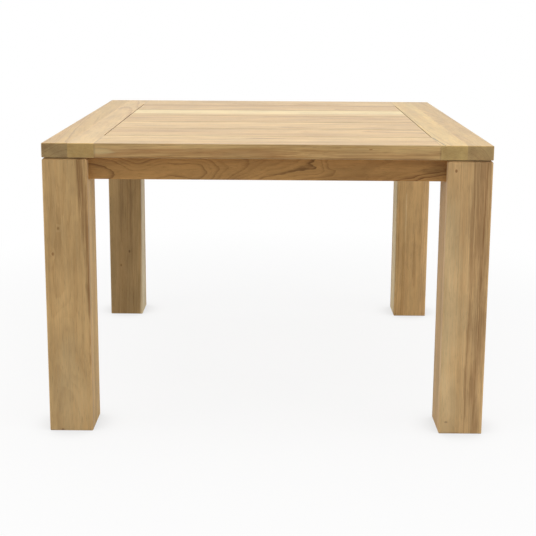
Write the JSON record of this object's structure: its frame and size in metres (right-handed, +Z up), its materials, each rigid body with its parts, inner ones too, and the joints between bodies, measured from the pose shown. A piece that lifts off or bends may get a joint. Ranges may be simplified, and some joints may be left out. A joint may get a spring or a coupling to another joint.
{
  "type": "garden table",
  "caption": "Square teak garden table: boards and slats in a framed top, on a set-back apron frame held in the ears of thick square legs.",
  "frame": {"origin": "on the floor, under the middle of the table top", "axes": "+X to the right, +Y away from the front edge, +Z up, seen by someone who faces the front"},
  "size_m": [1.1, 1.1, 0.74],
  "materials": {
    "teak": "sanded and left bare, honey to tan brown, with darker grain and end grain",
    "stainless_steel": "plain stainless bolts, washers and screws",
    "brass": "turned brass inserts"
  },
  "bodies": {
    "root": {"apron_screws": "stainless_steel", "back_apron": "teak", "back_board": "teak", "back_left_corner_block": "teak", "back_left_leg_back_facing": "teak", "back_left_leg_core": "teak", "back_left_leg_side_facing": "teak", "back_right_corner_block": "teak", "back_right_leg_back_facing": "teak", "back_right_leg_core": "teak", "back_right_leg_side_facing": "teak", "bearer_screws": "stainless_steel", "board_dowels": "teak", "bolt_washers": "stainless_steel", "front_apron": "teak", "front_board": "teak", "front_left_corner_block": "teak", "front_left_leg_core": "teak", "front_left_leg_front_facing": "teak", "front_left_leg_side_facing": "teak", "front_right_corner_block": "teak", "front_right_leg_core": "teak", "front_right_leg_front_facing": "teak", "front_right_leg_side_facing": "teak", "left_apron": "teak", "left_bearer": "teak", "left_inner_stave": "teak", "left_outer_stave": "teak", "leg_bolts": "stainless_steel", "right_apron": "teak", "right_bearer": "teak", "right_inner_stave": "teak", "right_outer_stave": "teak", "slat_1": "teak", "slat_2": "teak", "slat_3": "teak", "slat_4": "teak", "slat_5": "teak", "threaded_inserts": "brass"}
  },
  "joints": []
}
